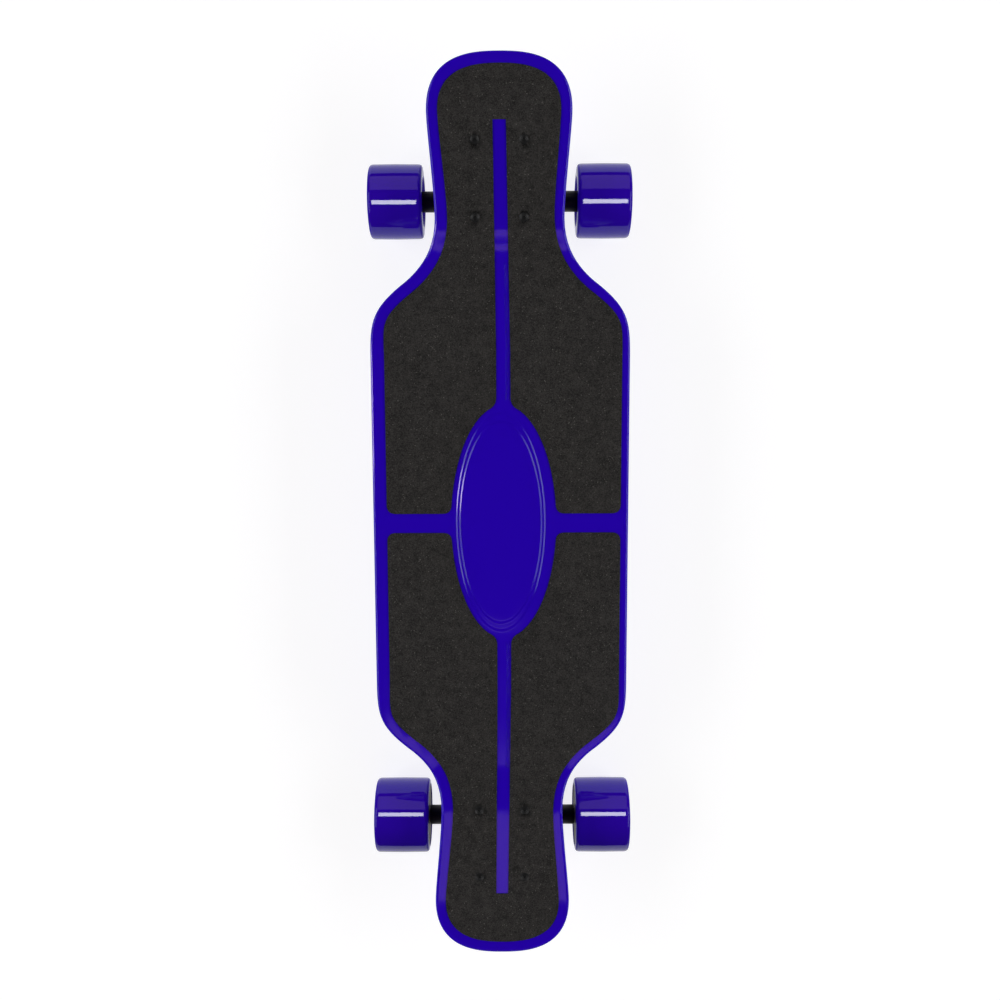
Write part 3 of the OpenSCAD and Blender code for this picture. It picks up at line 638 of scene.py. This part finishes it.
def hex_r(t):
    """Radius of the hex socket's wall at the angle t."""
    return HEX_R * math.cos(math.pi / 6) / math.cos(t % (math.pi / 3) - math.pi / 6)


B_TOP, B_LOW, B_RIM = b_hi.z, b_lo.z, BOLT_R / MM
# (radius in millimetres, height) up the shank, over the head's rim and down into its dished top
HEAD = [(2.1, B_LOW), (2.5, B_LOW + 0.4 * MM), (2.5, B_TOP - 3 * MM), (3.95, B_TOP - 1.15 * MM),
        (B_RIM, B_TOP - 0.9 * MM), (B_RIM, B_TOP - 0.35 * MM), (4.0, B_TOP - 0.1 * MM), (3.85, B_TOP),
        (3.68, B_TOP - 0.07 * MM), (3.5, B_TOP - 0.25 * MM), (2.2, B_TOP - 0.85 * MM)]
# (share of the hex, depth in millimetres) down the socket
SOCKET = [(1.0, 0.95), (1.0, 2.0), (0.9, 2.1)]
TURNS = [2 * math.pi * k / BOLT_N for k in range(BOLT_N)]
verts, faces = [], []
for bx, by in BOLTS:
    b0 = len(verts)
    for rad, z in HEAD:
        verts += [(bx + rad * MM * math.cos(t), by + rad * MM * math.sin(t), z) for t in TURNS]
    for grow, deep in SOCKET:
        verts += [(bx + hex_r(t) * grow * math.cos(t), by + hex_r(t) * grow * math.sin(t), B_TOP - deep * MM)
                  for t in TURNS]
    for i in range(len(HEAD) + len(SOCKET) - 1):
        r0 = b0 + i * BOLT_N
        for k in range(BOLT_N):
            j = (k + 1) % BOLT_N
            faces.append((r0 + k, r0 + j, r0 + BOLT_N + j, r0 + BOLT_N + k))
    last = b0 + (len(HEAD) + len(SOCKET) - 1) * BOLT_N
    faces += [tuple(range(b0, b0 + BOLT_N)), tuple(range(last, last + BOLT_N))]
bolts = obj_from("bolts", verts, faces, M["bolt"], 25)
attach(bolts, "board")
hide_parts("truck_bolts")


# ---------------------------------------------------------------- lathed pieces
def lathe(name, profile, mat, centre, axis_dir, n):
    """Revolves a closed profile of (radius, station) points round an axis through centre."""
    axis = Vector(axis_dir).normalized()
    rot = Vector((0, 0, 1)).rotation_difference(axis).to_matrix()
    verts, faces = [], []
    for k in range(n):
        a = 2 * math.pi * k / n
        for r, s in profile:
            verts.append(Vector(centre) + rot @ Vector((r * math.cos(a), r * math.sin(a), s)))
    m = len(profile)
    for k in range(n):
        j = (k + 1) % n
        for i in range(m):
            i2 = (i + 1) % m
            faces.append((k * m + i, k * m + i2, j * m + i2, j * m + i))
    return obj_from(name, verts, faces, mat, 40)


def rounded(profile, radii, n=5):
    """Rounds each corner of a closed profile by up to its own radius."""
    out = []
    m = len(profile)
    for k in range(m):
        p, a, b = Vector(profile[k]), Vector(profile[k - 1]), Vector(profile[(k + 1) % m])
        r = radii[k]
        da, db = min(r, (a - p).length * 0.48), min(r, (b - p).length * 0.48)
        if r <= 0:
            out.append(tuple(p))
            continue
        s, e = p + (a - p).normalized() * da, p + (b - p).normalized() * db
        for i in range(n + 1):
            t = i / n
            out.append(tuple(s * (1 - t) ** 2 + p * 2 * t * (1 - t) + e * t * t))
    return out


WHEELS = {"front_left": (-1, 1), "front_right": (1, 1), "rear_left": (-1, -1), "rear_right": (1, -1)}
EDGE_W, CORE_HOLE, CORE_MOUTH, MOTOR_HOLE = 2.9 * MM, 18 * MM, 20.5 * MM, 29.5 * MM
for name, (sx, sy) in WHEELS.items():
    lo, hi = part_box("tyre_" + name)
    c = (lo + hi) / 2
    R, H = (hi.z - lo.z) / 2, (hi.x - lo.x) / 2
    T = H - EDGE_W
    tread = [(R - 2.2 * MM, -H + 0.7 * MM), (R - 0.3 * MM, -T - 0.4 * MM), (R, 0),
             (R - 0.3 * MM, T + 0.4 * MM), (R - 2.2 * MM, H - 0.7 * MM)]
    if sy > 0:
        hole, mouth = CORE_HOLE, CORE_MOUTH
        prof = [(hole, -H + 3 * MM), (mouth, -H + 1.4 * MM), (mouth + 2.5 * MM, -H)] + tread
        prof += [(mouth + 2.5 * MM, H), (mouth, H - 1.4 * MM), (hole, H - 8 * MM)]
        rad = [0, 1.5, 4, 2, 2.4, 0, 2.4, 2, 4, 1.5, 0]
    else:
        hole = MOTOR_HOLE
        prof = [(hole, -H + 1.5 * MM), (hole + 0.4 * MM, -H + 0.1 * MM)] + tread
        prof += [(hole + 0.4 * MM, H - 0.1 * MM), (hole, H - 1.5 * MM)]
        rad = [0, 0.4, 0.8, 2.4, 0, 2.4, 0.8, 0.4, 0]
    prof = rounded(prof, [x * MM for x in rad])
    w = lathe("wheel_" + name, prof, M["urethane"], c, (sx, 0, 0), 128)
    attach(w, "wheel_" + name)
    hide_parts("tyre_" + name)

# ---------------------------------------------------------------- bushings, lathed round each kingpin
# centre of each hanger's ring, and how far the kingpin leans
RING_Y, RING_Z, LEAN = 266.9 * MM, 55.0 * MM, math.radians(30)
BUSH_BORE, BUSH_BULGE = 5.2 * MM, 0.5 * MM
# stations along the kingpin and radii at them, in millimetres
BUSHINGS = (("upper", -16.0, -4.0, 12.5, 12.5), ("lower", 4.0, 14.0, 12.5, 10.0))
for end, sy in (("front", 1), ("rear", -1)):
    centre = Vector((0, sy * RING_Y, RING_Z))
    down = Vector((0, -sy * math.sin(LEAN), -math.cos(LEAN)))
    for part, s0, s1, r0, r1 in BUSHINGS:
        s0, s1, r0, r1 = s0 * MM, s1 * MM, r0 * MM, r1 * MM
        prof = [(BUSH_BORE, s0), (r0 - 1.2 * MM, s0), (r0, s0 + 1.6 * MM)]
        prof += [((r0 + r1) / 2 + BUSH_BULGE, (s0 + s1) / 2)]
        prof += [(r1, s1 - 1.6 * MM), (r1 - 1.2 * MM, s1), (BUSH_BORE, s1)]
        dense = []
        for k in range(len(prof)):
            a, b = Vector(prof[k]), Vector(prof[(k + 1) % len(prof)])
            dense += [tuple(a.lerp(b, t / 4)) for t in range(4)]
        o = lathe("bushing_%s_%s_body" % (part, end), dense, M["bushing"], centre, down, 64)
        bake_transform(o)
        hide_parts("bushing_%s_%s" % (part, end))

# ---------------------------------------------------------------- motor cables
c_lo, c_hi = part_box("motor_cables")
CABLE_R, CABLE_BEND, CABLE_FLAT = 3.2 * MM, 20 * MM, 30.6 * MM
z_low, z_high = c_lo.z + CABLE_R, c_hi.z - CABLE_R
cable_x = c_hi.x - CABLE_R


def cable_arc(a):
    """How far along and how far up a bend has gone after a degrees."""
    return CABLE_BEND * math.sin(math.radians(a)), CABLE_BEND * (1 - math.cos(math.radians(a)))


# (along the board, height): flat out of the hanger, up at 45 degrees and flat into the box
y0, y3 = c_lo.y, c_hi.y
y1 = y0 + CABLE_FLAT
ahead, climb = cable_arc(45)
y2 = y1 + ((z_high - z_low - 2 * climb) + 2 * ahead)
lower = [(y1 + cable_arc(a)[0], z_low + cable_arc(a)[1]) for a in range(0, 46, 5)]
upper = [(y2 - cable_arc(a)[0], z_high - cable_arc(a)[1]) for a in range(45, -1, -5)]
a, b = lower[-1], upper[0]
rise = [(a[0] + (b[0] - a[0]) * k / 8, a[1] + (b[1] - a[1]) * k / 8) for k in range(1, 8)]
path = [(y0 + (y1 - y0) * k / 6, z_low) for k in range(6)] + lower + rise + upper
path += [(y2 + (y3 - y2) * k / 10, z_high) for k in range(1, 11)]
for side, sx in (("left", -1), ("right", 1)):
    verts, faces, n = [], [], 20
    for i, (y, z) in enumerate(path):
        a, b = path[max(i - 1, 0)], path[min(i + 1, len(path) - 1)]
        d = Vector((b[0] - a[0], b[1] - a[1])).normalized()
        for k in range(n):
            t = 2 * math.pi * k / n
            h = CABLE_R * math.sin(t)
            verts.append((sx * cable_x + CABLE_R * math.cos(t), y - d.y * h, z + d.x * h))
    for i in range(len(path) - 1):
        for k in range(n):
            j = (k + 1) % n
            faces.append((i * n + k, i * n + j, (i + 1) * n + j, (i + 1) * n + k))
    faces += [tuple(range(n)), tuple(range((len(path) - 1) * n, len(path) * n))]
    o = obj_from("motor_cable_" + side, verts, faces, M["cable"], 45)
    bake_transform(o)
    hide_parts("motor_cables")

# ---------------------------------------------------------------- floor, lights, camera
floor_m, nt, b = new_mat("floor_white")
b.inputs["Base Color"].default_value = (0.35, 0.35, 0.35, 1)
b.inputs["Roughness"].default_value = 0.9
b.inputs["Specular IOR Level"].default_value = 0.1
b.inputs["Emission Color"].default_value = (1, 1, 1, 1)
b.inputs["Emission Strength"].default_value = 0.82
noise_bump(nt, b, 40, 0.05, 0.0005)
FLOOR = 8.0
corners = [(-FLOOR, -FLOOR, 0), (FLOOR, -FLOOR, 0), (FLOOR, FLOOR, 0), (-FLOOR, FLOOR, 0)]
floor = obj_from("floor", corners, [(0, 1, 2, 3)], floor_m, 35)
floor.location.z = -0.0002

# the world lights the pieces faintly, and the camera sees it as a pale background
world = bpy.data.worlds.new("studio")
bpy.context.scene.world = world
world.use_nodes = True
world.node_tree.nodes["Background"].inputs[0].default_value = (1, 1, 1, 1)
nt = world.node_tree
lamp, pale = nt.nodes["Background"], node(nt, "ShaderNodeBackground", Strength=0.9)
lamp.inputs[1].default_value = 0.03
seen = node(nt, "ShaderNodeLightPath")
both = node(nt, "ShaderNodeMixShader")
nt.links.new(seen.outputs["Is Camera Ray"], both.inputs[0])
nt.links.new(lamp.outputs[0], both.inputs[1])
nt.links.new(pale.outputs[0], both.inputs[2])
nt.links.new(both.outputs[0], nt.nodes["World Output"].inputs["Surface"])


def softbox(name, place, target, sx, sy, radiance, colour=(1, 1, 1), only=None, skip=None):
    """An area light of the given size that faces the target; it may light some pieces only, or skip some."""
    light = bpy.data.lights.new(name, "AREA")
    light.shape, light.size, light.size_y = "RECTANGLE", sx, sy
    light.energy = radiance * math.pi * sx * sy
    light.color = colour
    o = bpy.data.objects.new(name, light)
    bpy.context.scene.collection.objects.link(o)
    o.location = place
    d = Vector(target) - Vector(place)
    o.rotation_mode = "QUATERNION"
    o.rotation_quaternion = d.to_track_quat("-Z", "Y")
    if only:
        lit = bpy.data.collections.new(name + "_on")
        for piece in only:
            lit.objects.link(bpy.data.objects[piece])
        o.light_linking.receiver_collection = lit
    if skip:
        unlit = bpy.data.collections.new(name + "_off")
        for piece in skip:
            unlit.objects.link(bpy.data.objects[piece])
        for entry in unlit.collection_objects:
            entry.light_linking.link_state = "EXCLUDE"
        o.light_linking.receiver_collection = unlit
    return o


LOFT = 3.0
TYRES = ["wheel_" + w for w in WHEELS]
TINT_TAIL, TINT_RIM, TINT_HAZE = (1.0, 0.55, 0.8), (1.0, 0.78, 0.97), (1.0, 0.66, 1.0)
softbox("side_left", (-2.0, 0.0, 1.5), (0, 0, 0.1), 2.2, 1.1, 3.6)
softbox("side_right", (2.0, 0.0, 1.5), (0, 0, 0.1), 2.2, 1.1, 3.6)
# soft bands across the deck's ends
softbox("nose_side", (0.0, 2.6, 1.3), (0, 0, 0.1), 2.4, 0.8, 1.2, skip=TYRES + ["bolts"])
softbox("tail_side", (0.0, -2.9, 1.2), (0, 0, 0.1), 2.4, 0.8, 1.2, skip=TYRES + ["bolts"])
softbox("tail_top", (0.0, -2.45, 5.0), (0.0, -2.45, 0), 2.4, 1.08, 1.5, TINT_TAIL, skip=TYRES + ["bolts"])
for end, y in (("front", 0.75), ("rear", -1.53)):
    softbox("bolt_sheen_" + end, (0.0, y, LOFT), (0.0, y, 0), 0.24, 0.36, 3.0, only=["bolts"])
# the highlight along the left rim
rim_line = softbox("rim_line", (-1.8, 0.05, 0.85), (-0.1, 0.05, 0.09), 0.36, 1.2, 16.0, TINT_RIM,
                   only=["deck_shell"])
rim_line.visible_diffuse = False
softbox("wheel_haze", (0.0, 3.2, 2.2), (0, 0, 0.05), 4.0, 3.2, 0.9, TINT_HAZE, only=TYRES)
# the line across each tread
STRIP_X, STRIP_SIZE = 0.36, 0.66
for sx in (-1, 1):
    side = "left" if sx < 0 else "right"
    for end, y in (("front", -0.14), ("rear", 0.90)):
        softbox("strip_%s_%s" % (end, side), (sx * STRIP_X, y, LOFT), (sx * STRIP_X, y, 0),
                STRIP_SIZE, STRIP_SIZE, 19.0, only=["wheel_%s_%s" % (end, side)])

# nearly straight down, tipped back by the pitch
CAM_AT = Vector((0.0038, 0.1359, 1.1042))
PITCH, YAW, ROLL = math.radians(8.01), 0.0045, 0.0041
turn_y = Matrix(((math.cos(YAW), 0, math.sin(YAW)), (0, 1, 0), (-math.sin(YAW), 0, math.cos(YAW))))
right = turn_y @ Vector((1, 0, 0))
up = turn_y @ Vector((0, math.cos(PITCH), -math.sin(PITCH)))
back = turn_y @ Vector((0, math.sin(PITCH), math.cos(PITCH)))
rolled = (right * math.cos(ROLL) - up * math.sin(ROLL),
          right * math.sin(ROLL) + up * math.cos(ROLL), back)
cam = bpy.data.cameras.new("camera")
cam_o = bpy.data.objects.new("camera", cam)
bpy.context.scene.collection.objects.link(cam_o)
cam.sensor_width, cam.lens, cam.shift_y = 36.0, 41.4, 0.03
cam_o.matrix_world = Matrix.Translation(CAM_AT) @ Matrix(rolled).transposed().to_4x4()
cam.clip_start, cam.clip_end = 0.01, 100
bpy.context.scene.camera = cam_o
bpy.context.scene.view_settings.view_transform = "Standard"
bpy.context.scene.view_settings.look = "None"
